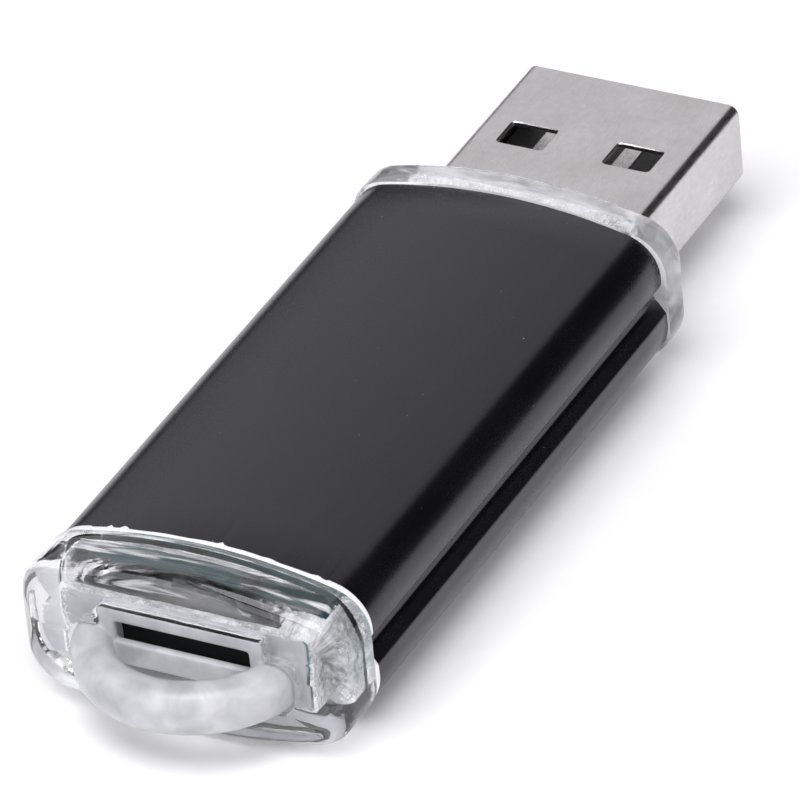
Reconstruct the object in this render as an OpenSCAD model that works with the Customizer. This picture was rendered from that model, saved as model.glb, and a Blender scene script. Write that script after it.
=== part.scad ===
// USB flash drive: an extruded aluminium sleeve closed by two clear end
// mouldings, with a lanyard loop at one end and a type A plug at the other.
// Millimetres. X is the width, +Y points out of the plug, +Z is up.
// The origin is under the middle of the drive, on the surface it lies on.

/* [Sleeve] */
// Length of the aluminium sleeve
sleeve_len = 32.3; // [24:0.1:60]
// Height of the sleeve at its crown
sleeve_h = 8.88; // [8.6:0.02:9.6]
// Width over the upper lobe
upper_w = 17.1; // [16.8:0.02:17.5]
// Width over the lower lobe
lower_w = 17.46; // [17.2:0.02:17.6]
// Radius of the domed top and bottom faces
dome_r = 29; // [26:0.5:34]
// Radius of the long edges
edge_r = 2.2; // [1.9:0.05:2.4]
// Wall over the top and the bottom
wall = 0.7; // [0.6:0.05:0.8]
// Half width of the inside
bore_half_w = 7.35; // [7.2:0.05:7.4]
// Radius of the inside corners
bore_edge_r = 1.5; // [1.2:0.1:1.8]

/* [Side groove] */
// Half width left at the bottom of the groove
groove_root = 8.03; // [7.95:0.01:8.2]
// Height of the groove root above the middle of the plug
groove_z = 0.37; // [0.2:0.01:0.45]

/* [End mouldings] */
// Width of the front collar and the rear cap
bezel_w = 17.6; // [17.5:0.02:18]
// Height of the front collar and the rear cap
bezel_h = 9.12; // [9.1:0.02:9.8]
// Length of the collar in front of the sleeve
collar_len = 2.0; // [1.4:0.1:4]
// Rounding of the collar's front edge
collar_round = 0.5; // [0.2:0.05:0.6]
// Length of the cap behind the sleeve
cap_len = 3.25; // [3:0.05:4]
// Rounding of the cap's rear edge
cap_round = 0.85; // [0.4:0.05:1]
// Thickness of the cap's end wall
cap_wall = 1.25; // [1:0.05:1.5]
// Length of the spigot that each moulding has inside the sleeve
spigot_len = 2.0; // [1.5:0.1:3]
// Gap round each spigot
spigot_gap = 0.05; // [0.03:0.01:0.1]
// Width of the pocket inside the cap
pocket_w = 13.7; // [13.4:0.1:14]
// Height of the pocket inside the cap
pocket_h = 4.4; // [4.2:0.1:5]

/* [Lanyard loop] */
// How far the loop reaches behind the sleeve
loop_reach = 7.45; // [6.5:0.05:10]
// Half width of the loop where it leaves the cap
loop_half_w = 6.03; // [5.8:0.01:6.1]
// Thickness of the loop's bar, seen from above
bar_t = 2.1; // [1.8:0.05:2.2]
// Height of the loop's bar
bar_h = 2.6; // [2:0.05:2.7]
// Height of the bar's top above the middle of the plug
bar_top = 0.76; // [0.6:0.02:1.1]
// Frame that carries the loop: half width
frame_half_w = 4.5; // [4.4:0.05:4.6]
// Width of the window in the frame
window_w = 7.3; // [6:0.1:7.6]
// Height of the window in the frame
window_h = 1.08; // [0.8:0.02:1.3]
// Wall of the frame at the window
frame_wall = 0.4; // [0.3:0.05:0.8]

/* [USB plug] */
// Width of the metal shell
plug_w = 12.0; // [11.9:0.05:12.1]
// Height of the metal shell
plug_h = 4.5; // [4.4:0.05:4.6]
// Length in front of the collar
plug_out = 12.5; // [11.75:0.05:13]
// Length held inside the body
plug_in = 6.3; // [5:0.1:7]
// Thickness of the sheet
sheet = 0.3; // [0.25:0.05:0.35]
// Outer corner radius of the shell
shell_r = 0.6; // [0.5:0.05:0.8]
// Width of each locking hole
hole_w = 2.6; // [2.4:0.05:2.7]
// Length of each locking hole
hole_l = 2.0; // [1.8:0.05:2.2]
// Distance from the plug's mouth to the middle of the holes
hole_y = 6.16; // [5.8:0.02:6.3]
// Distance between the middles of the two holes
hole_pitch = 6.0; // [5.8:0.05:6.2]

/* [Circuit board] */
// Width of the board
board_w = 13.0; // [12.4:0.1:13.1]
// Thickness of the board
board_t = 1.0; // [0.8:0.1:1.2]
// Depth of the board's top below the middle of the plug
board_drop = 0.31; // [0.3:0.01:0.35]

/* [Hidden] */
$fn = 96;

// stations along Y
total_len = plug_out + collar_len + sleeve_len + loop_reach;
y_mouth = total_len / 2;
y_collar = y_mouth - plug_out;          // front face of the collar
y_front = y_collar - collar_len;        // front end of the sleeve
y_rear = y_front - sleeve_len;          // rear end of the sleeve
y_cap = y_rear - cap_len;               // end face of the cap
y_pocket = y_cap + cap_wall;            // floor of the pocket in the cap
y_frame = y_cap + 0.15;                 // face of the loop's frame
y_tip = y_rear - loop_reach;            // tip of the loop
y_shell_back = y_mouth - plug_out - plug_in;
y_board_front = y_shell_back - 0.2;
y_board_rear = y_pocket + 0.8;
y_tray_front = y_front - spigot_len - 0.1;
y_tray_rear = y_rear + spigot_len + 0.1;

// heights
zc = bezel_h / 2;                       // middle of the plug
z_top = zc - board_drop;                // top of the board
z_bot = z_top - board_t;                // underside of the board
z_split = (z_top + z_bot) / 2;          // where the two trays meet

// inside of the plug
tongue_z0 = zc - plug_h / 2 + sheet;
tongue_t = 1.84;
contact_t = 0.25;
contact_w = 1.0;
contact_z = z_top;                      // the blades run level onto the board
y_tail = y_shell_back - 1.9;

// loop, seen from above: two arcs through the roots and the tip
loop_root_y = y_cap + 0.15;
loop_rise = loop_reach - cap_len + 0.15;
outer_r = (loop_half_w * loop_half_w + loop_rise * loop_rise) / (2 * loop_rise);
inner_half = loop_half_w - bar_t;
inner_rise = loop_rise - bar_t;
inner_r = (inner_half * inner_half + inner_rise * inner_rise) / (2 * inner_rise);

// ---------- outlines in the X-Z plane, about the middle of the plug ----------

// height of a corner arc's centre below the dome that it touches
function corner_z(w, h, R, r) = (h - R) + sqrt((R - r) * (R - r) - (w - r) * (w - r));

// domed outline of half width w and half height h
module dome2d(w, h, R, r) {
    cz = corner_z(w, h, R, r);
    tx = (w - r) * R / (R - r);
    intersection() {
        translate([0, h - R]) circle(r = R, $fn = 360);
        translate([0, R - h]) circle(r = R, $fn = 360);
        square([2 * tx, 2 * h + 1], center = true);
    }
    for (sx = [-1, 1], sz = [-1, 1])
        translate([sx * (w - r), sz * cz]) circle(r = r, $fn = 64);
    square([2 * w, 2 * cz], center = true);
}

// a prism of a 2D outline from y0 to y1, about the middle of the plug
module along_y(y0, y1) {
    translate([0, y1, zc]) rotate([90, 0, 0]) linear_extrude(y1 - y0) children();
}

// domed disc whose far edge (at y1) is rounded by rr; y1 may be below y0
module bezel(y0, y1, w, h, rr) {
    s = y1 > y0 ? 1 : -1;
    hull() for (a = [0, 22.5, 45, 67.5, 90]) {
        d = rr * (1 - sin(a));
        i = rr * (1 - cos(a));
        ya = y1 - s * (d + 0.02);
        translate([0, max(ya, ya + s * 0.02), zc]) rotate([90, 0, 0])
            linear_extrude(0.02) dome2d(w - i, h - i, dome_r, edge_r + 0.1 - i * 0.5, $fn = 32);
    }
    hull() {
        translate([0, s > 0 ? y1 - rr : y0, zc]) rotate([90, 0, 0])
            linear_extrude(abs(y1 - y0) - rr) dome2d(w, h, dome_r, edge_r + 0.1);
    }
}

// box given by its two corners
module block(a, b) { translate(a) cube(b - a); }

// the V groove on one side, right hand
module groove2d() {
    polygon([[10, 1.06], [8.55, 1.06], [8.33, 0.71], [groove_root, groove_z],
        [groove_root + 0.09, 0.045], [groove_root + 0.23, -0.05],
        [groove_root + 0.45, -0.36], [8.71, -0.67], [10, -0.67]]);
}

module sleeve_outline() {
    difference() {
        union() {
            intersection() {
                dome2d(upper_w / 2, sleeve_h / 2, dome_r, edge_r);
                translate([-10, groove_z]) square([20, 10]);
            }
            intersection() {
                dome2d(lower_w / 2, sleeve_h / 2, dome_r, edge_r + 0.15);
                translate([-10, groove_z - 10]) square([20, 10]);
            }
        }
        groove2d();
        mirror([1, 0]) groove2d();
    }
}

// rounded rectangle, exact arcs
module rrect(w, h, r) {
    square([w - 2 * r, h], center = true);
    square([w, h - 2 * r], center = true);
    for (sx = [-1, 1], sz = [-1, 1])
        translate([sx * (w / 2 - r), sz * (h / 2 - r)]) circle(r = r, $fn = 32);
}

// ---------------------------------- sleeve ----------------------------------

module sleeve() {
    color([0.16, 0.16, 0.17]) along_y(y_rear, y_front) difference() {
        sleeve_outline();
        dome2d(bore_half_w, sleeve_h / 2 - wall, dome_r - wall, bore_edge_r);
    }
}

module spigot(y0, y1) {
    along_y(y0, y1) dome2d(bore_half_w - spigot_gap, sleeve_h / 2 - wall - spigot_gap,
        dome_r - wall, bore_edge_r);
}

// ------------------------------- end mouldings -------------------------------

module front_collar() {
    color([0.82, 0.85, 0.88, 0.45]) difference() {
        union() {
            bezel(y_front, y_collar, bezel_w / 2, bezel_h / 2, collar_round);
            spigot(y_front - spigot_len, y_front);
        }
        // the plug passes through
        translate([-(plug_w / 2 + 0.05), y_front - spigot_len - 1, zc - plug_h / 2 - 0.05])
            cube([plug_w + 0.1, collar_len + spigot_len + 2, plug_h + 0.1]);
    }
}

module rear_cap() {
    color([0.80, 0.84, 0.86, 0.45]) difference() {
        union() {
            bezel(y_rear, y_cap, bezel_w / 2, bezel_h / 2, cap_round);
            spigot(y_rear, y_rear + spigot_len);
        }
        // pocket that takes the end of the board and the loop's plate
        block([-pocket_w / 2, y_pocket, zc - pocket_h / 2 + 0.1],
            [pocket_w / 2, y_rear + 1, zc + pocket_h / 2 + 0.1]);
        // hollow of the spigot
        along_y(y_rear, y_rear + spigot_len + 1)
            dome2d(6.75, sleeve_h / 2 - wall - 0.75, dome_r - wall - 0.75, 1);
        // seat of the loop's frame
        block([-frame_half_w - 0.03, y_cap - 1, zc - 1.38],
            [frame_half_w + 0.03, y_rear + 1, zc + 1.93]);
        // seats of the loop's two roots
        for (sx = [-1, 1]) translate([sx * (loop_half_w - bar_t / 2), 0, 0])
            block([-bar_t / 2 - 0.03, y_cap - 1, zc + bar_top - bar_h - 0.03],
                [bar_t / 2 + 0.03, y_rear + 1, zc + bar_top + 0.03]);
    }
}

module lanyard_loop() {
    color([0.86, 0.87, 0.90]) difference() {
        union() {
            // frame and the plate that holds it behind the cap's wall
            block([-frame_half_w, y_frame, zc - 1.35], [frame_half_w, y_pocket + 0.3, zc + 1.9]);
            block([-6.5, y_pocket + 0.02, zc - 1.95], [6.5, y_pocket + 0.6, zc + 2.1]);
            // roots of the bar
            for (sx = [-1, 1]) translate([sx * (loop_half_w - bar_t / 2), 0, 0])
                block([-bar_t / 2, loop_root_y, zc + bar_top - bar_h],
                    [bar_t / 2, y_pocket + 0.3, zc + bar_top]);
            // the bow
            difference() {
                translate([0, loop_root_y - loop_rise + outer_r, zc + bar_top - bar_h])
                    cylinder(r = outer_r, h = bar_h);
                translate([0, loop_root_y - inner_rise + inner_r, zc + bar_top - bar_h - 1])
                    cylinder(r = inner_r, h = bar_h + 2);
                block([-10, loop_root_y, zc - 5], [10, loop_root_y + 20, zc + 5]);
            }
        }
        // window
        block([-window_w / 2, y_frame - 1, zc + 0.02],
            [window_w / 2, y_pocket + 2, zc + 0.02 + window_h]);
        // the frame is a thin wall with a hollow behind its window
        block([-window_w / 2 - 0.3, y_frame + frame_wall, zc - 0.95],
            [window_w / 2 + 0.3, y_pocket + 2, zc + 0.02 + window_h + 0.35]);
    }
}

// ----------------------------------- trays -----------------------------------

module tray_ring() {
    difference() {
        dome2d(bore_half_w - 0.1, sleeve_h / 2 - wall - 0.1, dome_r - wall - 0.1, bore_edge_r);
        dome2d(6.65, sleeve_h / 2 - wall - 0.75, dome_r - wall - 0.75, 0.95);
    }
}

module lower_tray() {
    color([0.70, 0.74, 0.78, 0.5]) {
        along_y(y_tray_rear, y_tray_front) intersection() {
            tray_ring();
            translate([-10, z_split - zc - 10]) square([20, 10]);
        }
        // ledges under the board
        for (sx = [-1, 1]) along_y(y_tray_rear, y_board_front - 3.2)
            translate([sx > 0 ? 6.12 : -6.7, z_bot - zc - 1.2]) square([0.58, 1.2]);
    }
}

module upper_tray() {
    color([0.74, 0.78, 0.82, 0.5]) {
        along_y(y_tray_rear, y_tray_front) intersection() {
            tray_ring();
            translate([-10, z_split - zc]) square([20, 10]);
        }
        // ribs that press on the board
        for (sx = [-1, 1], y = [y_tray_rear, y_tray_rear + 9, y_tray_rear + 18])
            along_y(y, y + 1.2)
                translate([sx > 0 ? 6.12 : -6.7, z_top - zc]) square([0.58, 1.6]);
    }
}

// ----------------------------------- plug -----------------------------------

module plug_shell() {
    color([0.72, 0.72, 0.73]) {
        difference() {
            along_y(y_shell_back, y_mouth) difference() {
                rrect(plug_w, plug_h, shell_r);
                rrect(plug_w - 2 * sheet, plug_h - 2 * sheet, shell_r - sheet);
                // seam of the folded sheet
                translate([-0.04, -plug_h]) square([0.08, plug_h]);
            }
            for (sx = [-1, 1])
                translate([sx * hole_pitch / 2 - hole_w / 2, y_mouth - hole_y - hole_l / 2, zc - plug_h])
                    cube([hole_w, hole_l, 2 * plug_h]);
        }
        // legs that stand on the board
        for (sx = [-1, 1])
            translate([sx > 0 ? plug_w / 2 - sheet : -plug_w / 2, y_shell_back - 2.6, z_top])
                cube([sheet, 2.7, 1.2]);
    }
}

module blade(x, y0, y1) {
    block([x - contact_w / 2, y0, contact_z], [x + contact_w / 2, y1, contact_z + contact_t]);
}

module power_contacts() {
    color([0.90, 0.84, 0.66]) for (x = [-3.5, 3.5]) blade(x, y_tail, y_mouth - 1.1);
}

module data_contacts() {
    color([0.90, 0.84, 0.66]) for (x = [-1, 1]) blade(x, y_tail, y_mouth - 2.1);
}

module plug_tongue() {
    half = plug_w / 2 - sheet - 0.02;
    color([0.05, 0.05, 0.055]) difference() {
        union() {
            block([-5.55, y_mouth - 12, tongue_z0], [5.55, y_mouth - 0.4, tongue_z0 + tongue_t]);
            block([-half, y_shell_back + 0.1, tongue_z0], [half, y_mouth - 11.8, zc + plug_h / 2 - sheet - 0.02]);
        }
        // channels of the four blades
        for (x = [-3.5, 3.5]) blade(x, y_tail - 1, y_mouth - 1.1);
        for (x = [-1, 1]) blade(x, y_tail - 1, y_mouth - 2.1);
    }
}

// ----------------------------------- board -----------------------------------

module circuit_board() {
    color([0.05, 0.36, 0.32])
        block([-board_w / 2, y_board_rear, z_bot], [board_w / 2, y_board_front, z_top]);
}

// gull wing lead that leaves along +X from x = 0, its foot on z = 0
module gull(w, reach, rise) {
    translate([0, w / 2, 0]) rotate([90, 0, 0]) linear_extrude(w)
        polygon([[0, rise], [0.28, rise], [0.42, 0.15], [reach, 0.15], [reach, 0],
            [0.32, 0], [0.18, rise - 0.13], [0, rise - 0.13]]);
}

flash_y = y_rear + 13.4;
flash_z = z_bot - 0.1;

module flash_chip() {
    color([0.06, 0.06, 0.065])
        block([-6, flash_y - 9.2, flash_z - 1.0], [6, flash_y + 9.2, flash_z]);
}

module flash_leads() {
    color([0.78, 0.78, 0.78]) for (s = [-1, 1], i = [0 : 23])
        translate([-5.75 + 0.5 * i, flash_y + s * 9.2, z_bot])
            rotate([0, 0, s * 90]) mirror([0, 0, 1]) gull(0.22, 0.8, 0.66);
}

ctl_y = y_front - 12.4;

module controller_chip() {
    color([0.06, 0.06, 0.065])
        block([-3.5, ctl_y - 3.5, z_top + 0.1], [3.5, ctl_y + 3.5, z_top + 1.5]);
}

module controller_leads() {
    color([0.78, 0.78, 0.78]) for (q = [0 : 3], i = [0 : 11])
        translate([0, ctl_y, z_top]) rotate([0, 0, 90 * q])
            translate([3.5, -2.75 + 0.5 * i, 0]) gull(0.22, 1.0, 0.86);
}

module crystal() {
    color([0.80, 0.80, 0.82]) {
        block([-5.2, y_rear + 9.6, z_top], [-0.2, y_rear + 12.8, z_top + 0.35]);
        block([-5.0, y_rear + 9.8, z_top + 0.35], [-0.4, y_rear + 12.6, z_top + 1.0]);
    }
}

module status_led() {
    color([0.85, 0.88, 0.80]) {
        block([-0.8, y_rear - 0.9, z_top], [0.8, y_rear - 0.1, z_top + 0.3]);
        block([-0.5, y_rear - 0.9, z_top + 0.3], [0.5, y_rear - 0.1, z_top + 0.6]);
    }
}

// 1.0 x 0.5 x 0.5 chip part, long side along X when turn is 0
module chip_part(x, y, turn, h = 0.5) {
    translate([x, y, z_top]) rotate([0, 0, turn]) translate([-0.5, -0.25, 0]) cube([1.0, 0.5, h]);
}

// places of the small parts, as [x, distance in front of the sleeve's rear end]
cap_at = [[5.2, 14.2], [5.6, 17.4], [5.6, 20.6], [-5.6, 17.4], [-5.6, 20.6], [-5.5, 8.3], [2.25, 25.3]];

module capacitors() {
    color([0.72, 0.58, 0.42]) for (p = cap_at)
        chip_part(p[0], y_rear + p[1], 90);
}

res_at = [[1.6, 10.8], [3.0, 10.8], [4.4, 10.8], [0.3, 2.6], [3.9, 2.0]];

module resistors() {
    color([0.10, 0.10, 0.11]) for (p = res_at) chip_part(p[0], y_rear + p[1], 90, 0.35);
}

module voltage_regulator() {
    color([0.07, 0.07, 0.075]) {
        block([-5.4, y_rear + 4.0, z_top + 0.05], [-2.4, y_rear + 5.6, z_top + 1.1]);
        for (p = [[-4.85, -1], [-2.95, -1], [-3.9, 1]])
            block([p[0] - 0.2, y_rear + 4.8 + p[1] * 1.35 - (p[1] > 0 ? 0.6 : 0), z_top],
                [p[0] + 0.2, y_rear + 4.8 + p[1] * 1.35 + (p[1] > 0 ? 0 : 0.6), z_top + 0.3]);
    }
}

module ferrite_bead() {
    color([0.20, 0.20, 0.22])
        block([-5.6, y_rear + 24.0, z_top], [-4.8, y_rear + 25.6, z_top + 0.8]);
}

// fillet of solder: a wedge w wide with its upright side at x = 0
module solder(w, l, h) {
    translate([0, w / 2, 0]) rotate([90, 0, 0]) linear_extrude(w) polygon([[0, 0], [l, 0], [l * 0.35, h * 0.4], [0, h]]);
}

module solder_joints() {
    color([0.80, 0.80, 0.81]) {
        for (x = [-3.5, -1, 1, 3.5]) translate([x, y_tail, z_top]) rotate([0, 0, -90]) solder(1.2, 0.6, 0.24);
        for (sx = [-1, 1]) translate([sx * (plug_w / 2 - sheet), y_shell_back - 1.5, z_top])
            rotate([0, 0, sx > 0 ? 180 : 0]) solder(1.6, 0.6, 0.7);
        for (p = cap_at, s = [-1, 1]) translate([p[0], y_rear + p[1] + s * 0.5, z_top])
            rotate([0, 0, s * 90]) solder(0.5, 0.22, 0.35);
        for (p = res_at, s = [-1, 1]) translate([p[0], y_rear + p[1] + s * 0.5, z_top])
            rotate([0, 0, s * 90]) solder(0.5, 0.2, 0.28);
    }
}

sleeve();
front_collar();
rear_cap();
lanyard_loop();
lower_tray();
upper_tray();
plug_shell();
plug_tongue();
power_contacts();
data_contacts();
circuit_board();
flash_chip();
flash_leads();
controller_chip();
controller_leads();
crystal();
status_led();
capacitors();
resistors();
voltage_regulator();
ferrite_bead();
solder_joints();
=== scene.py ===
import math

import bpy
import bmesh
import numpy as np
from mathutils import Matrix, Vector


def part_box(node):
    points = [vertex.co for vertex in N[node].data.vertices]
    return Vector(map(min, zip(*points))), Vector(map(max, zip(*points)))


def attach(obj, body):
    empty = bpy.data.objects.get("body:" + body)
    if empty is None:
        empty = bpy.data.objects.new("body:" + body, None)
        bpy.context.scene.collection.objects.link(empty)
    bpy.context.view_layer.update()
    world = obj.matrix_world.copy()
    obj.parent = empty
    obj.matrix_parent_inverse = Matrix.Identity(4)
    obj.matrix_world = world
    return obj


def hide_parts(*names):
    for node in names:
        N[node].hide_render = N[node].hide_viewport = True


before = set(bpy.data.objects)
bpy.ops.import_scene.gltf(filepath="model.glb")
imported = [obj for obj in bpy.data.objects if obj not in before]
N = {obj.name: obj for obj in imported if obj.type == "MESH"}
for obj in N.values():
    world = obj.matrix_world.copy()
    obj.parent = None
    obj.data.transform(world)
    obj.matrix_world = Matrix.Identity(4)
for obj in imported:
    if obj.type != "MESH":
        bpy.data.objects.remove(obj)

scene = bpy.context.scene
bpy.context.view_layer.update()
MM = 0.001


def lo(n, k):
    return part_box(n)[0][k] / MM


def hi(n, k):
    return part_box(n)[1][k] / MM


# stations of the CAD model, in millimetres
Y_MOUTH = hi("plug_shell", 1)
Y_SHELL = lo("plug_tongue", 1) - 0.1
Y_COLLAR = hi("front_collar", 1)
Y_FRONT = hi("sleeve", 1)
Y_REAR = lo("sleeve", 1)
Y_CAP = lo("rear_cap", 1)
Y_POCKET = Y_CAP + 1.25
Y_FRAME = Y_CAP + 0.15
Y_TIP = lo("lanyard_loop", 1)
ZC = 0.5 * (lo("rear_cap", 2) + hi("rear_cap", 2))
Z_TOP = hi("circuit_board", 2)
Z_BOT = lo("circuit_board", 2)

# ------------------------------------------------------------------ camera
# orientation rows: right, down, forward
CAM_R = np.array([
    [0.8887961076984247, 0.4510352949794344, -0.08129355216094965],
    [0.1942591870622256, -0.5314138868792391, -0.8245378396858585],
    [-0.4150961902764872, 0.7170540032066719, -0.5599363439742346]])
CAM_F = 9997.173
CAM_T = np.array([235.90896, -278.32874, 512.83866])
_o = np.array([CAM_T[0] * CAM_T[2] / CAM_F, CAM_T[1] * CAM_T[2] / CAM_F, CAM_T[2]])
_pos = -CAM_R.T @ _o + np.array([0.0, Y_MOUTH, ZC])
cam_data = bpy.data.cameras.new("camera")
cam = bpy.data.objects.new("camera", cam_data)
scene.collection.objects.link(cam)
_m = Matrix.Identity(4)
for r in range(3):
    _m[r][0] = CAM_R[0][r]
    _m[r][1] = -CAM_R[1][r]
    _m[r][2] = -CAM_R[2][r]
    _m[r][3] = _pos[r] * MM
cam.matrix_world = _m
cam_data.sensor_width = 36.0
cam_data.lens = CAM_F * 36.0 / 800.0
cam_data.clip_start = 0.02
cam_data.clip_end = 10.0
scene.camera = cam


# ------------------------------------------------------------------ materials
def new_mat(name):
    m = bpy.data.materials.new(name)
    m.use_nodes = True
    nt = m.node_tree
    b = nt.nodes["Principled BSDF"]
    return m, nt, b


def coords(nt, scale=(1, 1, 1), rot=(0, 0, 0)):
    """Object coordinates in millimetres, times scale."""
    tc = nt.nodes.new("ShaderNodeTexCoord")
    mp = nt.nodes.new("ShaderNodeMapping")
    mp.inputs["Scale"].default_value = [1000.0 * s for s in scale]
    mp.inputs["Rotation"].default_value = rot
    nt.links.new(tc.outputs["Object"], mp.inputs["Vector"])
    return mp.outputs["Vector"]


def noise(nt, vec, scale, detail=3.0, rough=0.55, dist=0.0):
    n = nt.nodes.new("ShaderNodeTexNoise")
    n.inputs["Scale"].default_value = scale
    n.inputs["Detail"].default_value = detail
    n.inputs["Roughness"].default_value = rough
    n.inputs["Distortion"].default_value = dist
    nt.links.new(vec, n.inputs["Vector"])
    return n.outputs["Fac"]


def voronoi(nt, vec, scale, feature="F1", rnd=1.0):
    n = nt.nodes.new("ShaderNodeTexVoronoi")
    n.feature = feature
    n.inputs["Scale"].default_value = scale
    n.inputs["Randomness"].default_value = rnd
    nt.links.new(vec, n.inputs["Vector"])
    return n.outputs["Distance"]


def ramp(nt, fac, stops):
    n = nt.nodes.new("ShaderNodeValToRGB")
    el = n.color_ramp.elements
    while len(el) < len(stops):
        el.new(0.5)
    for e, (p, c) in zip(el, stops):
        e.position = p
        e.color = (c, c, c, 1) if isinstance(c, (int, float)) else (*c, 1)
    nt.links.new(fac, n.inputs["Fac"])
    return n.outputs["Color"]


def maprange(nt, fac, a, b, c, d):
    n = nt.nodes.new("ShaderNodeMapRange")
    n.inputs["From Min"].default_value = a
    n.inputs["From Max"].default_value = b
    n.inputs["To Min"].default_value = c
    n.inputs["To Max"].default_value = d
    nt.links.new(fac, n.inputs["Value"])
    return n.outputs["Result"]


def mathn(nt, op, a, b=None):
    n = nt.nodes.new("ShaderNodeMath")
    n.operation = op
    for i, v in enumerate((a, b)):
        if v is None:
            continue
        if isinstance(v, (int, float)):
            n.inputs[i].default_value = v
        else:
            nt.links.new(v, n.inputs[i])
    return n.outputs[0]


def mixc(nt, fac, a, b, mode="MIX"):
    n = nt.nodes.new("ShaderNodeMix")
    n.data_type = "RGBA"
    n.blend_type = mode
    for key, v in (("Factor", fac), ("A", a), ("B", b)):
        sock = [s for s in n.inputs if s.name == key and (s.type == ("VALUE" if key == "Factor" else "RGBA"))][0]
        if isinstance(v, (int, float)):
            sock.default_value = v
        elif isinstance(v, tuple):
            sock.default_value = (*v, 1)
        else:
            nt.links.new(v, sock)
    return [o for o in n.outputs if o.type == "RGBA"][0]


def bump(nt, b, height, strength, dist):
    n = nt.nodes.new("ShaderNodeBump")
    n.inputs["Strength"].default_value = strength
    n.inputs["Distance"].default_value = dist * MM
    nt.links.new(height, n.inputs["Height"])
    nt.links.new(n.outputs["Normal"], b.inputs["Normal"])
    return n


def m_anodised():
    m, nt, b = new_mat("black_anodised_aluminium")
    v = coords(nt)
    grain = noise(nt, coords(nt, (1, 0.03, 1)), 14.0, 3.0, 0.6)
    fine = noise(nt, v, 8.0, 3.0, 0.7)
    cloud = noise(nt, v, 0.22, 3.0, 0.5)
    # pale dust specks, a few tenths of a millimetre apart in clusters
    cell = voronoi(nt, v, 1.1)
    gate = noise(nt, v, 0.5, 2.0)
    speck = ramp(nt, cell, [(0.0, 1.0), (0.045, 0.0)])
    gate2 = ramp(nt, gate, [(0.44, 0.0), (0.58, 1.0)])
    dust = mathn(nt, "MULTIPLY", speck, gate2)
    lone = ramp(nt, voronoi(nt, v, 0.42), [(0.0, 1.0), (0.017, 1.0), (0.024, 0.0)])
    dust = mathn(nt, "MAXIMUM", dust, lone)
    base = mixc(nt, maprange(nt, cloud, 0.3, 0.7, 0.0, 1.0), (0.0017, 0.0016, 0.0021), (0.0025, 0.0024, 0.0030))
    base = mixc(nt, maprange(nt, fine, 0.35, 0.65, 0.0, 0.35), base, (0.0045, 0.0043, 0.0050))
    base = mixc(nt, mathn(nt, "MULTIPLY", dust, 0.75), base, (0.26, 0.26, 0.27))
    nt.links.new(base, b.inputs["Base Color"])
    r = mathn(nt, "ADD", maprange(nt, cloud, 0.3, 0.7, 0.245, 0.28), maprange(nt, fine, 0.3, 0.7, -0.015, 0.02))
    nt.links.new(r, b.inputs["Roughness"])
    b.inputs["IOR"].default_value = 1.52
    b.inputs["Specular Tint"].default_value = (0.925, 0.91, 1.0, 1.0)
    h = mathn(nt, "ADD", mathn(nt, "MULTIPLY", grain, 0.6), mathn(nt, "MULTIPLY", fine, 0.55))
    bump(nt, b, h, 0.38, 0.007)
    return m


def m_bare():
    m, nt, b = new_mat("cut_aluminium")
    v = coords(nt)
    g = noise(nt, coords(nt, (0.5, 8, 3.5)), 6.0, 3.0, 0.6)
    f = noise(nt, v, 9.0, 3.0, 0.6)
    base = mixc(nt, maprange(nt, g, 0.3, 0.7, 0.0, 1.0), (0.76, 0.76, 0.78), (0.90, 0.90, 0.92))
    nt.links.new(base, b.inputs["Base Color"])
    b.inputs["Metallic"].default_value = 0.35
    nt.links.new(maprange(nt, f, 0.3, 0.7, 0.45, 0.65), b.inputs["Roughness"])
    bump(nt, b, mathn(nt, "ADD", g, f), 0.5, 0.01)
    return m


def let_light_in(nt, b, amount=0.85):
    """Clear plastic passes most of the light that falls on it."""
    out = nt.nodes["Material Output"]
    lp = nt.nodes.new("ShaderNodeLightPath")
    tr = nt.nodes.new("ShaderNodeBsdfTransparent")
    tr.inputs["Color"].default_value = (amount, amount, amount, 1.0)
    mx = nt.nodes.new("ShaderNodeMixShader")
    nt.links.new(lp.outputs["Is Shadow Ray"], mx.inputs[0])
    nt.links.new(b.outputs[0], mx.inputs[1])
    nt.links.new(tr.outputs[0], mx.inputs[2])
    nt.links.new(mx.outputs[0], out.inputs["Surface"])


def m_clear(name, tint=(0.975, 0.985, 0.99), rough=(0.02, 0.06), ior=1.5, bstr=0.06,
            haze=(0.96, 0.88), streak=(0.12, 0.9, 0.9), grit=0.0, passes=0.85, span=(0.40, 0.66)):
    """Clear moulding with flow lines, a little haze and scuffs."""
    m, nt, b = new_mat(name)
    v = coords(nt)
    flow = noise(nt, coords(nt, (0.25, 0.7, 0.6)), 0.9, 2.0, 0.5, 0.4)
    line = noise(nt, coords(nt, streak), 1.0, 3.0, 0.5, 0.5)
    scuff = noise(nt, v, 4.0, 4.0, 0.6)
    base = mixc(nt, maprange(nt, flow, 0.3, 0.7, 0.0, 1.0), tint, tuple(0.985 * t for t in tint))
    nt.links.new(base, b.inputs["Base Color"])
    nt.links.new(maprange(nt, line, span[0], span[1], haze[0], haze[1]), b.inputs["Transmission Weight"])
    b.inputs["IOR"].default_value = ior
    nt.links.new(maprange(nt, scuff, 0.35, 0.75, rough[0], rough[1]), b.inputs["Roughness"])
    h = mathn(nt, "ADD", mathn(nt, "MULTIPLY", flow, 0.6), mathn(nt, "MULTIPLY", line, 0.7))
    if grit:
        cell = voronoi(nt, v, 3.4)
        cell2 = noise(nt, v, 6.0, 3.0, 0.6)
        h = mathn(nt, "ADD", h, mathn(nt, "MULTIPLY", mathn(nt, "ADD", cell, cell2), grit))
    bump(nt, b, h, bstr, 0.25)
    let_light_in(nt, b, passes)
    return m


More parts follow.
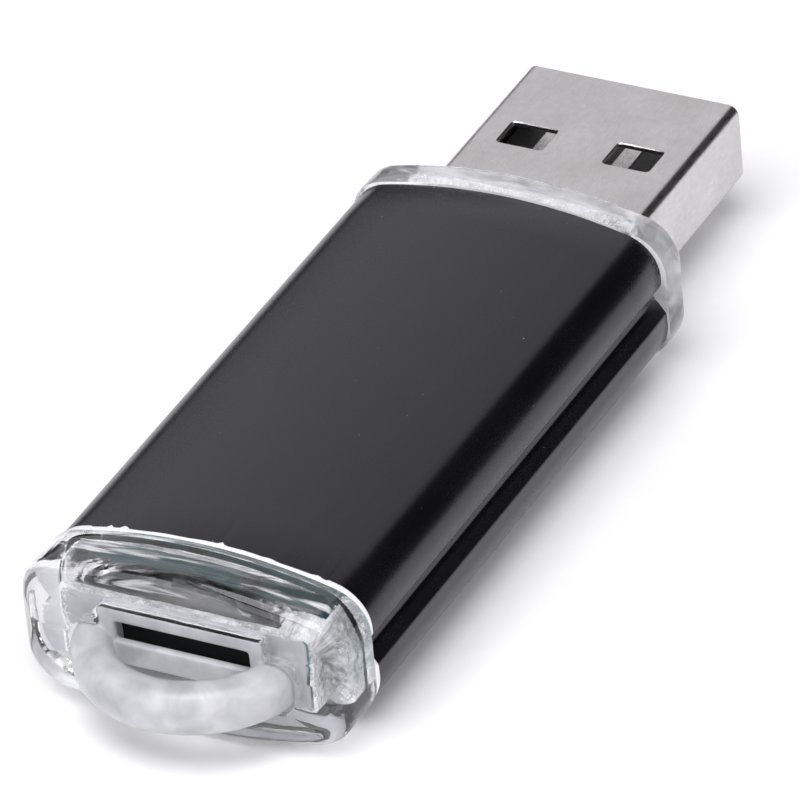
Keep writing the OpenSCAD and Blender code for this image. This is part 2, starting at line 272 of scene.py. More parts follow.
def m_milky():
    m, nt, b = new_mat("milky_plastic")
    v = coords(nt)
    c = noise(nt, v, 0.6, 3.0, 0.55, 0.4)
    f = noise(nt, v, 12.0, 3.0, 0.6)
    base = mixc(nt, maprange(nt, c, 0.3, 0.7, 0.0, 1.0), (0.38, 0.39, 0.405), (0.58, 0.585, 0.605))
    nt.links.new(base, b.inputs["Base Color"])
    nt.links.new(maprange(nt, c, 0.3, 0.7, 0.31, 0.42), b.inputs["Roughness"])
    b.inputs["IOR"].default_value = 1.5
    b.inputs["Transmission Weight"].default_value = 0.15
    b.inputs["Subsurface Weight"].default_value = 0.5
    b.inputs["Subsurface Radius"].default_value = (1.0, 1.0, 1.05)
    b.inputs["Subsurface Scale"].default_value = 1.2 * MM
    bump(nt, b, mathn(nt, "ADD", mathn(nt, "MULTIPLY", c, 0.6), mathn(nt, "MULTIPLY", f, 0.08)), 0.20, 0.10)
    return m


def m_steel():
    m, nt, b = new_mat("satin_steel")
    v = coords(nt)
    grain = noise(nt, coords(nt, (1.0, 0.06, 1.0)), 16.0, 4.0, 0.65)
    mott = noise(nt, v, 2.2, 5.0, 0.7)
    cloud = noise(nt, v, 0.35, 3.0, 0.5)
    base = mixc(nt, maprange(nt, cloud, 0.3, 0.7, 0.0, 1.0), (0.560, 0.545, 0.545), (0.640, 0.630, 0.632))
    base = mixc(nt, maprange(nt, mott, 0.45, 0.75, 0.0, 0.4), base, (0.500, 0.470, 0.470))
    nt.links.new(base, b.inputs["Base Color"])
    b.inputs["Metallic"].default_value = 1.0
    r = mathn(nt, "ADD", maprange(nt, grain, 0.3, 0.7, 0.22, 0.33), maprange(nt, mott, 0.4, 0.7, 0.0, 0.05))
    nt.links.new(r, b.inputs["Roughness"])
    h = mathn(nt, "ADD", mathn(nt, "MULTIPLY", grain, 0.9), mathn(nt, "MULTIPLY", mott, 0.35))
    bump(nt, b, h, 0.12, 0.006)
    return m


def m_plain(name, c0, c1, rough, metallic=0.0, scale=4.0, bstr=0.2, bdist=0.02, ior=1.5, fine=20.0):
    """Two-tone moulded, plated or sintered surface with a fine tooth."""
    m, nt, b = new_mat(name)
    v = coords(nt)
    c = noise(nt, v, scale, 4.0, 0.6)
    f = noise(nt, v, fine, 3.0, 0.6)
    nt.links.new(mixc(nt, maprange(nt, c, 0.3, 0.7, 0.0, 1.0), c0, c1), b.inputs["Base Color"])
    nt.links.new(maprange(nt, f, 0.3, 0.7, rough[0], rough[1]), b.inputs["Roughness"])
    b.inputs["Metallic"].default_value = metallic
    b.inputs["IOR"].default_value = ior
    bump(nt, b, mathn(nt, "ADD", mathn(nt, "MULTIPLY", c, 0.4), f), bstr, bdist)
    return m


def m_board():
    m, nt, b = new_mat("solder_mask")
    v = coords(nt)
    # copper tracks under the mask: bands of a few tenths of a millimetre
    br = nt.nodes.new("ShaderNodeTexBrick")
    br.inputs["Scale"].default_value = 0.42
    br.inputs["Mortar Size"].default_value = 0.06
    br.inputs["Mortar Smooth"].default_value = 0.3
    nt.links.new(v, br.inputs["Vector"])
    weave = noise(nt, v, 7.0, 2.0)
    track = br.outputs["Fac"]
    base = mixc(nt, track, (0.001, 0.150, 0.172), (0.005, 0.240, 0.268))
    base = mixc(nt, maprange(nt, weave, 0.3, 0.7, 0.0, 0.3), base, (0.001, 0.105, 0.122))
    # painted shade: the board's rear end face (y below -20.868) is painted near-black, standing in for the shade
    # deep in the cap's pocket
    sx = nt.nodes.new("ShaderNodeSeparateXYZ")
    nt.links.new(v, sx.inputs[0])
    painted_shade_end = mathn(nt, "LESS_THAN", sx.outputs["Y"], -20.868)
    # painted shade on the board's rear end face
    base = mixc(nt, painted_shade_end, base, (0.006, 0.007, 0.007))
    nt.links.new(base, b.inputs["Base Color"])
    nt.links.new(maprange(nt, weave, 0.3, 0.7, 0.28, 0.40), b.inputs["Roughness"])
    bump(nt, b, mathn(nt, "ADD", track, mathn(nt, "MULTIPLY", weave, 0.3)), 0.4, 0.02)
    return m


MAT = {
    "anodised": m_anodised(),
    "bare": m_bare(),
    "clear": m_clear("clear_plastic", (0.905, 0.91, 0.925), (0.02, 0.07), 1.49, 0.11, (1.0, 0.965), passes=0.40),
    "clear_front": m_clear("clear_plastic_front", (0.93, 0.935, 0.95), (0.03, 0.12), 1.49, 0.14, (0.93, 0.72), (0.3, 0.8, 1.0), passes=0.45),
    "frost": m_clear("frosted_wall", (0.90, 0.905, 0.92), (0.15, 0.40), 1.49, 0.45, (0.75, 0.30), (0.7, 1.1, 1.2), 0.35, 0.42),
    "streak": m_clear("streaked_wall", (0.92, 0.925, 0.94), (0.08, 0.25), 1.49, 0.25, (1.0, 0.20), (0.22, 2.4, 2.4), passes=0.42, span=(0.55, 0.69)),
    "tray": m_clear("tray_plastic", (0.80, 0.82, 0.84), (0.10, 0.20), 1.5, 0.08, (1.0, 0.96), passes=0.75),
    "milky": m_milky(),
    "steel": m_steel(),
    "black_plastic": m_plain("tongue_plastic", (0.012, 0.012, 0.013), (0.022, 0.022, 0.024), (0.38, 0.52)),
    "contact": m_plain("contact_plating", (0.50, 0.485, 0.485), (0.66, 0.65, 0.65), (0.18, 0.34), 1.0, 2.2, 0.3, 0.02, fine=12.0),
    "board": m_board(),
    "chip": m_plain("chip_epoxy", (0.010, 0.010, 0.011), (0.018, 0.018, 0.020), (0.45, 0.62), fine=26.0),
    "tin": m_plain("tin_plating", (0.62, 0.62, 0.63), (0.74, 0.74, 0.75), (0.25, 0.42), 1.0, 3.0, 0.2, 0.01),
    "can": m_plain("crystal_can", (0.66, 0.66, 0.68), (0.76, 0.76, 0.78), (0.18, 0.30), 1.0, 1.5, 0.15, 0.01),
    "led": m_clear("led_epoxy", (0.93, 0.95, 0.86), (0.05, 0.12), 1.5, 0.05),
    "tan": m_plain("capacitor_ceramic", (0.36, 0.25, 0.16), (0.44, 0.32, 0.21), (0.40, 0.55), 0.0, 6.0),
    "black_ceramic": m_plain("resistor_film", (0.012, 0.012, 0.014), (0.030, 0.030, 0.034), (0.20, 0.35), 0.0, 5.0),
    "ferrite": m_plain("ferrite_body", (0.045, 0.045, 0.048), (0.075, 0.074, 0.078), (0.50, 0.65), 0.0, 5.0),
    "solder": m_plain("solder_metal", (0.66, 0.66, 0.67), (0.80, 0.80, 0.81), (0.12, 0.28), 1.0, 4.0, 0.3, 0.02),
}


# ------------------------------------------------------------------ mesh help
def make_obj(name, verts, faces, mats, face_mat=None, smooth=True, sharp=35.0):
    me = bpy.data.meshes.new(name)
    me.from_pydata([tuple(float(c) * MM for c in v) for v in verts], [], faces)
    me.validate()
    ob = bpy.data.objects.new(name, me)
    scene.collection.objects.link(ob)
    for m in mats:
        me.materials.append(m)
    if face_mat is not None and len(face_mat) == len(me.polygons):
        me.polygons.foreach_set("material_index", face_mat)
    bm = bmesh.new()
    bm.from_mesh(me)
    bmesh.ops.remove_doubles(bm, verts=bm.verts, dist=1e-8)
    bmesh.ops.recalc_face_normals(bm, faces=bm.faces)
    a = math.radians(sharp)
    for f in bm.faces:
        f.smooth = smooth
    for e in bm.edges:
        if len(e.link_faces) == 2:
            e.smooth = e.calc_face_angle(0.0) < a
    bm.to_mesh(me)
    bm.free()
    return ob


def arc(cx, cz, r, a0, a1, n):
    t = np.linspace(a0, a1, n)
    return np.c_[cx + r * np.cos(t), cz + r * np.sin(t)]


def dome(w, h, R, r, n=14):
    """Closed domed outline, counter-clockwise, about the plug's middle."""
    cz = (h - R) + math.sqrt((R - r) ** 2 - (w - r) ** 2)
    th = math.asin((w - r) / (R - r))
    q = [arc(w - r, cz, r, 0, math.pi / 2 - th, n), arc(0, h - R, R, math.pi / 2 - th, math.pi / 2, 3 * n)[1:]]
    q = np.vstack(q)
    top = np.vstack([q, (q * [-1, 1])[::-1][1:]])
    return np.vstack([top, (top * [1, -1])[::-1]])


def rrect(w, h, r, n=8, cz=0.0):
    """Closed rounded rectangle of half sizes w and h, counter-clockwise."""
    c = [(w - r, h - r, 0), (-w + r, h - r, 1), (-w + r, -h + r, 2), (w - r, -h + r, 3)]
    p = np.vstack([arc(x, z, r, q * math.pi / 2, (q + 1) * math.pi / 2, n) for x, z, q in c])
    return p + [0, cz]


def polar(outline, ang):
    """Radius of a star-shaped closed outline at each angle."""
    P = np.asarray(outline, float)
    Q = np.roll(P, -1, axis=0)
    d = Q - P
    out = np.zeros(len(ang))
    for i, a in enumerate(ang):
        c, s = math.cos(a), math.sin(a)
        den = c * d[:, 1] - s * d[:, 0]
        with np.errstate(divide="ignore", invalid="ignore"):
            t = (P[:, 0] * d[:, 1] - P[:, 1] * d[:, 0]) / den
            u = (P[:, 0] * s - P[:, 1] * c) / den
        ok = (np.abs(den) > 1e-12) & (u > -1e-9) & (u < 1 + 1e-9) & (t > 0)
        out[i] = t[ok].max() if ok.any() else 0.0
    return out


def ring(rad, ang, y, cz=0.0):
    return np.c_[rad * np.cos(ang), np.full(len(ang), y), ZC + cz + rad * np.sin(ang)]


def angles(outlines, n):
    """n evenly spaced angles, with more where the outlines have corners."""
    a = list(np.linspace(-math.pi, math.pi, n, endpoint=False))
    for o in outlines:
        P = np.asarray(o, float)
        v1 = P - np.roll(P, 1, axis=0)
        v2 = np.roll(P, -1, axis=0) - P
        turn = np.abs(np.arctan2(v1[:, 0] * v2[:, 1] - v1[:, 1] * v2[:, 0], (v1 * v2).sum(1)))
        for p in P[turn > math.radians(3)]:
            a.append(math.atan2(p[1], p[0]))
    a = np.array(sorted(a))
    keep = [a[0]]
    for x in a[1:]:
        if x - keep[-1] > 1.2e-3:
            keep.append(x)
    return np.array(keep)


def loft(name, rings, mats, mat_of=None, closed=True, sharp=35.0):
    """Skin over rings of equal length. closed joins the last ring to the first."""
    n = len(rings[0])
    verts = np.vstack(rings)
    faces, fm = [], []
    m = len(rings)
    for k in range(m if closed else m - 1):
        a, b = k * n, ((k + 1) % m) * n
        for i in range(n):
            j = (i + 1) % n
            faces.append((a + i, a + j, b + j, b + i))
            q = mat_of[k] if mat_of else 0
            fm.append(q[i] if isinstance(q, (list, tuple, np.ndarray)) else q)
    return make_obj(name, verts, faces, mats, fm, True, sharp)


def done(ob, slot, *nodes):
    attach(ob, "root")
    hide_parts(*nodes)
    return ob


# ------------------------------------------------------------------ sleeve
def sleeve_outline():
    up = dome(8.55, 4.44, 29.0, 2.2, 18)
    lw = dome(8.73, 4.44, 29.0, 2.35, 18)
    u = up[(up[:, 0] > 0) & (up[:, 1] > 1.06)]
    l = lw[(lw[:, 0] > 0) & (lw[:, 1] < -0.67)]
    u = u[np.argsort(np.arctan2(u[:, 1], u[:, 0]))]
    l = l[np.argsort(np.arctan2(l[:, 1], l[:, 0]))]
    mid = np.array([[8.71, -0.67], [8.48, -0.36], [8.26, -0.05], [8.12, 0.045], [8.03, 0.37], [8.33, 0.71], [8.55, 1.06]])
    right = np.vstack([l, mid, u])
    full = np.vstack([right, (right * [-1, 1])[::-1]])
    # resample evenly and ease the corners a little, as an extruded profile has them
    d = np.r_[0, np.cumsum(np.hypot(*(np.roll(full, -1, 0) - full).T))]
    s = np.linspace(0, d[-1], 1500, endpoint=False)
    P = np.vstack([full, full[:1]])
    x = np.interp(s, d, P[:, 0])
    z = np.interp(s, d, P[:, 1])
    k = np.exp(-0.5 * (np.arange(-6, 7) / 1.7) ** 2)
    k /= k.sum()
    for v in (x, z):
        v[:] = sum(w * np.roll(v, i) for i, w in zip(range(-6, 7), k))
    return np.c_[x, z]


OUT = sleeve_outline()


def build_sleeve():
    keep = np.zeros(len(OUT), bool)
    keep[::6] = True
    keep |= (np.abs(OUT[:, 0]) > 7.7) & (np.abs(OUT[:, 1]) < 1.5)
    # even finer over the long edges
    keep[::3] |= (np.abs(OUT[::3, 0]) > 6.0)
    P = OUT[keep]
    ang = np.arctan2(P[:, 1], P[:, 0])
    o = np.argsort(ang)
    P, ang = P[o], ang[o]
    rad = np.hypot(P[:, 0], P[:, 1])
    inner = polar(dome(7.35, 3.74, 28.3, 1.5, 12), ang)
    nrm = np.c_[np.gradient(P[:, 1]), -np.gradient(P[:, 0])]
    nrm /= np.hypot(nrm[:, 0], nrm[:, 1])[:, None]

    def inset(d):
        Q = P - nrm * d
        return np.hypot(Q[:, 0], Q[:, 1])

    y0, y1 = Y_REAR + 0.012, Y_FRONT - 0.012
    rings, mats = [], []

    def add(r, y, m):
        q = ring(r, ang, 0.0)
        q[:, 1] = y
        rings.append(q)
        mats.append(m)

    # the sawn rear edge is broken by hand, with a few nicks along the top
    px = inset(0.0) * np.cos(ang)
    cut = 0.33 + 0.03 * np.sin(5.0 * ang + 1.0) + 0.02 * np.sin(13.0 * ang)
    cut = cut + np.where(np.abs(np.sin(ang)) < 0.5, 0.09, 0.0)
    for xn, wn, hn in ((-5.35, 0.10, 0.20), (-4.55, 0.16, 0.26), (0.75, 0.14, 0.20), (3.4, 0.3, 0.08), (5.9, 0.2, 0.10)):
        cut = cut + np.where(np.sin(ang) > 0, hn * np.exp(-((px - xn) / wn) ** 2), 0.0)
    add(inner, y0 + 0.06, 1)
    add(inner + 0.06, y0, 1)
    add(inset(0.20), y0, 1)
    add(inset(0.11), y0 + 0.06, 1)
    add(inset(0.02), y0 + 0.75 * cut, 1)
    add(inset(0.0), y0 + cut, 0)
    for t in np.linspace(0, 1, 14)[1:-1]:
        add(inset(0.0), y0 + 0.6 + t * (y1 - y0 - 0.7), 0)
    add(inset(0.0), y1 - 0.09, 0)
    add(inset(0.03), y1 - 0.02, 1)
    add(inset(0.09), y1, 1)
    add(inner + 0.06, y1, 1)
    add(inner, y1 - 0.06, 0)
    return loft("sleeve_tube", rings, [MAT["anodised"], MAT["bare"]], mats, True, 40.0)


done(build_sleeve(), "black_anodised", "sleeve")


# ------------------------------------------------------------------ collar
def rounded_steps(r, n=6):
    """(inset, depth from the far face) along a quarter round."""
    return [(r * (1 - math.cos(a)), r * (1 - math.sin(a))) for a in np.linspace(0, math.pi / 2, n)]


def bez(i):
    return dome(8.8 - i, 4.56 - i, 29.0 - i, 2.3 - 0.6 * i, 12)


def spig(i):
    return dome(7.30 - i, 3.69 - i, 28.25 - i, 1.5 - 0.5 * i, 10)


def build_collar():
    hole = rrect(6.05, 2.30, 0.65, 8)
    ang = angles([bez(0), hole], 360)
    R = []
    yb = Y_FRONT
    R.append(ring(polar(spig(0.15), ang), ang, yb - 2.0))
    R.append(ring(polar(spig(0.0), ang), ang, yb - 1.85))
    R.append(ring(polar(spig(0.0), ang), ang, yb - 0.0))
    R.append(ring(polar(bez(0.12), ang), ang, yb))
    R.append(ring(polar(bez(0.03), ang), ang, yb + 0.04))
    R.append(ring(polar(bez(0.0), ang), ang, yb + 0.14))
    for t in (0.35, 0.65):
        R.append(ring(polar(bez(0.0), ang), ang, yb + 0.14 + t * (Y_COLLAR - 0.5 - yb - 0.14)))
    for i, d in rounded_steps(0.5, 7):
        R.append(ring(polar(bez(i), ang), ang, Y_COLLAR - d))
    R.append(ring(polar(rrect(6.17, 2.42, 0.75, 8), ang), ang, Y_COLLAR))
    R.append(ring(polar(rrect(6.08, 2.33, 0.67, 8), ang), ang, Y_COLLAR - 0.04))
    R.append(ring(polar(hole, ang), ang, Y_COLLAR - 0.14))
    R.append(ring(polar(hole, ang), ang, yb - 1.0))
    R.append(ring(polar(hole, ang), ang, yb - 2.0))
    mats = [0] * len(R)
    mats[-3] = mats[-2] = 1            # the walls round the plug are frosted
    return loft("clear_collar", R, [MAT["clear_front"], MAT["frost"]], mats, True, 40.0)


done(build_collar(), "clear_plastic", "front_collar")


# ------------------------------------------------------------------ rear cap
def opening(g):
    a = rrect(4.5 + g, 1.625 + g, 0.25, 6, 0.275)
    b = rrect(6.03 + g, 1.30 + g, 0.9, 8, -0.54)
    return a, b


def build_cap():
    pocket = rrect(6.85, 2.2, 0.35, 8, 0.1)
    a, b = opening(0.03)
    ang = angles([bez(0), pocket, a], 420)

    def op(g):
        a, b = opening(g)
        return np.maximum(polar(a, ang), polar(b, ang))

    R = []
    yb = Y_REAR
    hol = dome(6.75, 2.99, 27.55, 1.0, 10)
    R.append(ring(polar(hol, ang), ang, yb + 2.0))
    R.append(ring(polar(spig(0.15), ang), ang, yb + 2.0))
    R.append(ring(polar(spig(0.0), ang), ang, yb + 1.85))
    R.append(ring(polar(spig(0.0), ang), ang, yb))
    R.append(ring(polar(bez(0.12), ang), ang, yb))
    R.append(ring(polar(bez(0.03), ang), ang, yb - 0.04))
    R.append(ring(polar(bez(0.0), ang), ang, yb - 0.14))
    for t in (0.35, 0.7):
        R.append(ring(polar(bez(0.0), ang), ang, yb - 0.14 + t * (Y_CAP + 0.85 - yb + 0.14)))
    for i, d in rounded_steps(0.85, 9):
        R.append(ring(polar(bez(i), ang), ang, Y_CAP + d))
    R.append(ring(op(0.10), ang, Y_CAP))
    R.append(ring(op(0.03), ang, Y_CAP + 0.07))
    R.append(ring(op(0.03), ang, Y_POCKET))
    R.append(ring(polar(rrect(6.70, 2.05, 0.3, 8, 0.1), ang), ang, Y_POCKET))
    R.append(ring(polar(pocket, ang), ang, Y_POCKET + 0.15))
    R.append(ring(polar(pocket, ang), ang, Y_POCKET + 0.55))
    R.append(ring(polar(pocket, ang), ang, yb))
    R.append(ring(polar(hol, ang), ang, yb))
    mats = [0] * len(R)
    side = (np.abs(np.cos(ang)) > 0.955).astype(int)
    mats[-5] = mats[-4] = 1            # the pocket's walls are frosted near its floor
    mats[-3] = np.where(side == 1, 1, np.where(np.sin(ang) > 0.0, 2, 0))
    return loft("clear_cap", R, [MAT["clear"], MAT["frost"], MAT["streak"]], mats, True, 40.0)


done(build_cap(), "clear_plastic", "rear_cap")


# ------------------------------------------------------------------ loop
def build_loop():
    parts = []
    # frame with its window
    win = rrect(3.65, 0.54, 0.12, 5, 0.56)
    c = 0.56

    def shift(o):
        return np.asarray(o) - [0, c]

    fr = lambda i: shift(rrect(4.5 - i, 1.625 - i, 0.25, 5, 0.275))
    pl = lambda i: shift(rrect(6.5 - i, 2.02 - i, 0.3, 5, 0.075))
    wi = lambda i: shift(rrect(3.65 + i, 0.54 + i, 0.14, 5, 0.56))
    ho = shift(rrect(4.25, 1.30, 0.2, 5, 0.30))
    ang = angles([fr(0), wi(0), pl(0), ho], 200)
    y0, y1, y2 = Y_FRAME, Y_POCKET + 0.03, Y_POCKET + 0.23
    R = [ring(polar(fr(0.14), ang), ang, y0, c), ring(polar(fr(0.04), ang), ang, y0 + 0.04, c),
         ring(polar(fr(0.0), ang), ang, y0 + 0.14, c), ring(polar(fr(0.0), ang), ang, y1, c),
         ring(polar(pl(0.0), ang), ang, y1, c), ring(polar(pl(0.0), ang), ang, y2, c),
         ring(polar(ho, ang), ang, y2, c), ring(polar(ho, ang), ang, y0 + 0.4, c),
         ring(polar(wi(0.0), ang), ang, y0 + 0.4, c), ring(polar(wi(0.0), ang), ang, y0 + 0.14, c),
         ring(polar(wi(0.04), ang), ang, y0 + 0.04, c), ring(polar(wi(0.12), ang), ang, y0, c)]
    fr_ob = loft("loop_frame_part", R, [MAT["milky"]], None, True, 30.0)
    # the bow: a rounded bar swept along a D
    hw, bt, bh, zt = 6.03, 2.1, 2.6, 0.76
    zm = ZC + zt - bh / 2
    root = Y_FRAME
    rise = root - Y_TIP
    Rr = (hw * hw + rise * rise) / (2 * rise)
    cy = root - rise + Rr
    rc = Rr - bt / 2
    hc = hw - bt / 2
    a_end = math.acos(max(-1.0, min(1.0, (cy - root) / rc)))
    path = [(-hc, Y_POCKET + 0.2), (-hc, root - 0.05)]
    for t in np.linspace(-a_end, a_end, 61):
        x, y = rc * math.sin(t), cy - rc * math.cos(t)
        if y < root - 0.12:
            path.append((x, y))
    path += [(hc, root - 0.05), (hc, Y_POCKET + 0.2)]
    P = np.array(path)
    # ease the joint between the roots and the arc
    for _ in range(3):
        Q = P.copy()
        Q[1:-1] = 0.25 * P[:-2] + 0.5 * P[1:-1] + 0.25 * P[2:]
        P = Q
    T = np.gradient(P, axis=0)
    T /= np.hypot(T[:, 0], T[:, 1])[:, None]
    rings = []
    u = np.linspace(0, 2 * math.pi, 36, endpoint=False)
    e = 2 / 2.6
    for (x, y), (tx, ty) in zip(P, T):
        nx, ny = ty, -tx
        ca, sa = np.cos(u), np.sin(u)
        oa = np.sign(ca) * np.abs(ca) ** e * bt / 2
        ob_ = np.sign(sa) * np.abs(sa) ** e * bh / 2
        rings.append(np.c_[x + nx * oa, y + ny * oa, zm + ob_])
    n = len(u)
    verts = np.vstack(rings)
    faces = []
    for k in range(len(rings) - 1):
        for i in range(n):
            j = (i + 1) % n
            faces.append((k * n + i, k * n + j, (k + 1) * n + j, (k + 1) * n + i))
    faces.append(tuple(range(n)))
    faces.append(tuple((len(rings) - 1) * n + i for i in reversed(range(n))))
    bow = make_obj("loop_bow_part", verts, faces, [MAT["milky"]])
    # fuse the two into one moulding with soft inside corners
    bpy.ops.object.select_all(action="DESELECT")
    fr_ob.select_set(True)
    bow.select_set(True)
    bpy.context.view_layer.objects.active = fr_ob
    bpy.ops.object.join()
    ob = fr_ob
    ob.name = "loop_moulding"
    rm = ob.modifiers.new("fuse", "REMESH")
    rm.mode = "VOXEL"
    rm.voxel_size = 0.07 * MM
    sm = ob.modifiers.new("ease", "SMOOTH")
    sm.factor = 0.5
    sm.iterations = 6
    dg = bpy.context.evaluated_depsgraph_get()
    me = bpy.data.meshes.new_from_object(ob.evaluated_get(dg))
    ob.modifiers.clear()
    ob.data = me
    ob.data.materials.clear()
    ob.data.materials.append(MAT["milky"])
    for p in ob.data.polygons:
        p.use_smooth = True
    # keep no point behind the rear face of the CAD solid's box
    a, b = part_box("lanyard_loop")
    for v in ob.data.vertices:
        v.co.y = max(v.co.y, a.y)
    return ob


done(build_loop(), "milky_plastic", "lanyard_loop")


# ------------------------------------------------------------------ plug shell
def build_shell():
    """The sheet is laid out flat with its four windows, then folded round."""
    W, H, t, ro = 6.0, 2.25, 0.3, 0.6
    rm = ro - t / 2
    fw, fh = W - ro, H - ro            # half lengths of the flats
    bend = rm * math.pi / 2
    half = fw + bend + 2 * fh + bend + fw   # from the middle of the top to the seam
    y0, y1 = Y_SHELL, Y_MOUTH
    gap = 0.04
    half -= gap
    hy, hp, hw, hl = Y_MOUTH - 6.16, 3.0, 1.3, 1.0

    def loop_rect(cx, cy, w, h, r, n=6):
        pts = rrect(w, h, r, n)
        return pts + [cx, cy]

    def outer(i):
        L, b0, b1 = half - i, y0 + i, y1 - i
        # dovetail at the seam: a tab on one side and its notch on the other
        yd, wd, dd = y1 - 9.0, 1.1, 0.55
        right = [(L, b0), (L, yd - wd - i * 0), (L - dd, yd - wd - 0.35 + i * 0), (L - dd, yd + wd + 0.35), (L, yd + wd), (L, b1)]
        left = [(-L, b1), (-L, yd + wd - 0.06), (-L - dd + 0.06, yd + wd + 0.29), (-L - dd + 0.06, yd - wd - 0.29), (-L, yd - wd + 0.06), (-L, b0)]
        return np.array(right + left)

    def holes(i):
        out = []
        for c in (-hp, hp):
            out.append(loop_rect(c, hy, hw + i, hl + i, 0.22 + i))
        for c in (-1, 1):
            # windows in the two halves of the underside
            cx = c * (half + gap - hp)
            out.append(loop_rect(cx, hy, hw + i, hl + i, 0.22 + i))
        return out

    b = 0.05
    bm = bmesh.new()

    def add_loops(i, z):
        ls = [outer(i)] + [h[::-1] for h in holes(i)]
        return [[bm.verts.new((float(x), float(y), z)) for x, y in l] for l in ls]

    top = add_loops(b, t / 2)
    s1 = add_loops(0.0, t / 2 - b)
    s2 = add_loops(0.0, -t / 2 + b)
    bot = add_loops(b, -t / 2)
    for A, B in ((top, s1), (s1, s2), (s2, bot)):
        for la, lb in zip(A, B):
            n = len(la)
            for i in range(n):
                j = (i + 1) % n
                bm.faces.new((la[i], la[j], lb[j], lb[i]))
    from mathutils.geometry import tessellate_polygon
    for L, rev in ((top, False), (bot, True)):
        flat = [v for l in L for v in l]
        tris = tessellate_polygon([[v.co for v in l] for l in L])
        for tr in tris:
            vs = [flat[k] for k in tr]
            if rev:
                vs.reverse()
            try:
                bm.faces.new(vs)
            except ValueError:
                pass
    # cut lines across the bends
    cuts = []
    for s in (-1, 1):
        for c0 in (fw, fw + bend + 2 * fh):
            cuts += [s * (c0 + bend * k / 8) for k in range(9)]
        cuts += [s * (fw + bend + 2 * fh * k / 3) for k in (1, 2)]
    cuts += [0.0] + [s * fw * k / 3 for s in (-1, 1) for k in (1, 2)]
    for c in cuts:
        bmesh.ops.bisect_plane(bm, geom=bm.verts[:] + bm.edges[:] + bm.faces[:], dist=1e-6, plane_co=(c, 0, 0), plane_no=(1, 0, 0))
    for c in np.arange(y0 + 1.5, y1 - 0.5, 1.5):
        bmesh.ops.bisect_plane(bm, geom=bm.verts[:] + bm.edges[:] + bm.faces[:], dist=1e-6, plane_co=(0, float(c), 0), plane_no=(0, 1, 0))
    # fold
    for v in bm.verts:
        s, y, n = v.co
        sg = 1 if s >= 0 else -1
        q = abs(s)
        if q <= fw:
            x, z, nx, nz = q, H - t / 2, 0, 1
        elif q <= fw + bend:
            a = (q - fw) / rm
            x, z, nx, nz = fw + rm * math.sin(a), fh + rm * math.cos(a), math.sin(a), math.cos(a)
        elif q <= fw + bend + 2 * fh:
            x, z, nx, nz = W - t / 2, fh - (q - fw - bend), 1, 0
        elif q <= fw + 2 * bend + 2 * fh:
            a = (q - fw - bend - 2 * fh) / rm
            x, z, nx, nz = fw + rm * math.cos(a), -fh - rm * math.sin(a), math.cos(a), -math.sin(a)
        else:
            x, z, nx, nz = fw - (q - fw - 2 * bend - 2 * fh), -H + t / 2, 0, -1
        v.co = Vector((sg * (x + nx * n), y, ZC + z + nz * n)) * MM
    # legs that stand on the board
    for s in (-1, 1):
        xs = sorted((s * 5.7, s * 6.0))
        ys = (lo("plug_shell", 1), y0 + 0.1)
        zs = (Z_TOP, Z_TOP + 1.2)
        c = bmesh.ops.create_cube(bm, size=1.0)["verts"]
        for v in c:
            v.co = Vector(((xs[0] + xs[1]) / 2 + v.co.x * (xs[1] - xs[0]), (ys[0] + ys[1]) / 2 + v.co.y * (ys[1] - ys[0]), (zs[0] + zs[1]) / 2 + v.co.z * (zs[1] - zs[0]))) * MM
    bmesh.ops.recalc_face_normals(bm, faces=bm.faces)
    for f in bm.faces:
        f.smooth = True
    for e in bm.edges:
        if len(e.link_faces) == 2:
            e.smooth = e.calc_face_angle(0.0) < math.radians(28)
    me = bpy.data.meshes.new("plug_sheet")
    bm.to_mesh(me)
    bm.free()
    ob = bpy.data.objects.new("plug_sheet", me)
    scene.collection.objects.link(ob)
    me.materials.append(MAT["steel"])
    return ob


done(build_shell(), "steel_sheet", "plug_shell")

# ------------------------------------------------------------------ CAD nodes that stay
KEEP = {
    "lower_tray": "tray", "upper_tray": "tray", "plug_tongue": "black_plastic",
    "power_contacts": "contact", "data_contacts": "contact", "circuit_board": "board",
    "flash_chip": "chip", "flash_leads": "tin", "controller_chip": "chip",
    "controller_leads": "tin", "crystal": "can", "status_led": "led",
    "capacitors": "tan", "resistors": "black_ceramic", "voltage_regulator": "chip",
    "ferrite_bead": "ferrite", "solder_joints": "solder",
}
for node, key in KEEP.items():
    ob = N[node]
    if not ob.data.materials:
        ob.data.materials.append(MAT[key])
    for s in ob.material_slots:
        s.material = MAT[key]
BEVEL = {"plug_tongue": 0.06, "power_contacts": 0.05, "data_contacts": 0.05, "circuit_board": 0.04,
         "flash_chip": 0.08, "controller_chip": 0.08, "crystal": 0.12, "status_led": 0.06,
         "capacitors": 0.05, "resistors": 0.04, "ferrite_bead": 0.08}
for node, w in BEVEL.items():
    wd = N[node].modifiers.new("weld", "WELD")
    wd.merge_threshold = 1e-7
    bv = N[node].modifiers.new("edge", "BEVEL")
    bv.width = w * MM
    bv.segments = 2
    bv.limit_method = "ANGLE"
    bv.angle_limit = math.radians(40)

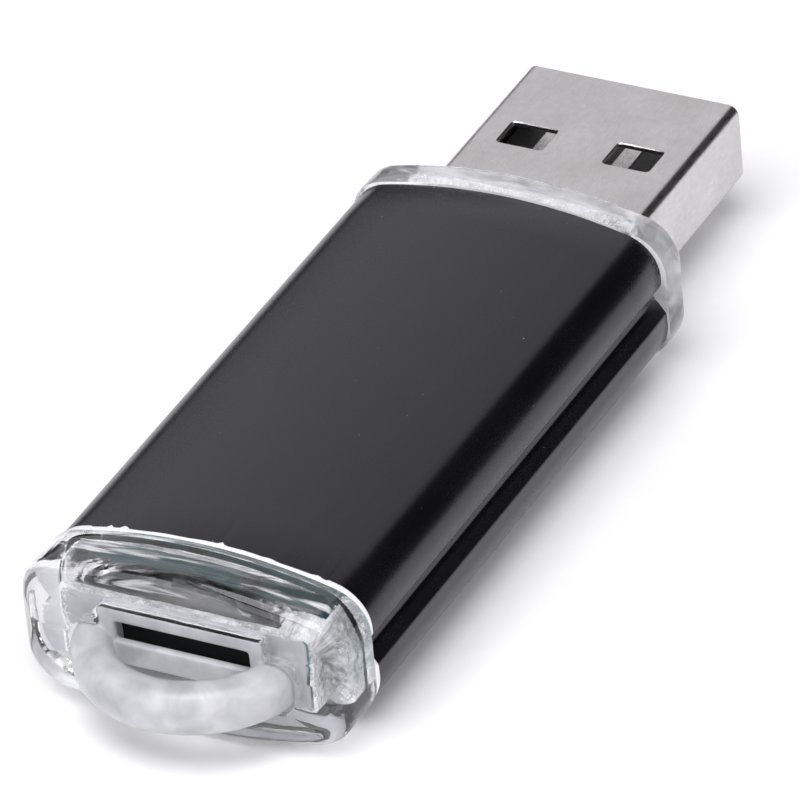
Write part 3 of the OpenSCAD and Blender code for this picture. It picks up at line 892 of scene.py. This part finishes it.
# ------------------------------------------------------------------ studio
def floor():
    me = bpy.data.meshes.new("floor")
    s = 1.6
    me.from_pydata([(-s, -s, 0), (s, -s, 0), (s, s, 0), (-s, s, 0)], [], [(0, 1, 2, 3)])
    ob = bpy.data.objects.new("floor", me)
    scene.collection.objects.link(ob)
    m, nt, b = new_mat("floor_paper")
    v = coords(nt)
    f = noise(nt, v, 0.8, 3.0)
    nt.links.new(mixc(nt, f, (0.90, 0.90, 0.90), (0.93, 0.93, 0.93)), b.inputs["Base Color"])
    b.inputs["Roughness"].default_value = 0.9
    b.inputs["Specular IOR Level"].default_value = 0.1
    me.materials.append(m)


floor()


def area(name, direction, dist, size, watts, color=(1, 1, 1), target=(0, 0, 4)):
    d = Vector(direction).normalized()
    L = bpy.data.lights.new(name, "AREA")
    L.shape = "RECTANGLE"
    L.size, L.size_y = size
    L.energy = watts
    L.color = color
    ob = bpy.data.objects.new(name, L)
    scene.collection.objects.link(ob)
    t = Vector(target) * MM
    ob.location = t + d * dist
    ob.rotation_euler = (-d).to_track_quat("-Z", "Y").to_euler()
    return ob


def radiance(L, size):
    """Watts that give an area light of this size the radiance L."""
    return L * math.pi * size[0] * size[1]


COOL = (0.985, 0.975, 1.0)
area("key_back_left", (-0.47, 0.65, 0.58), 0.75, (0.90, 0.55), radiance(0.86, (0.90, 0.55)), COOL)
area("overhead", (0.08, -0.42, 1.0), 0.9, (0.8, 0.6), radiance(5.6, (0.8, 0.6)), COOL)
area("fill_front", (-0.55, -0.95, 0.42), 0.9, (0.9, 0.6), radiance(2.8, (0.9, 0.6)), COOL)
area("fill_right", (0.95, -0.50, 0.62), 0.9, (0.7, 0.6), radiance(3.0, (0.7, 0.6)), COOL)

world = bpy.data.worlds.new("studio")
scene.world = world
world.use_nodes = True
bg = world.node_tree.nodes["Background"]
bg.inputs["Color"].default_value = (0.02, 0.02, 0.021, 1)
bg.inputs["Strength"].default_value = 1.0

scene.view_settings.view_transform = "Standard"
scene.view_settings.look = "None"
scene.view_settings.exposure = 0.0
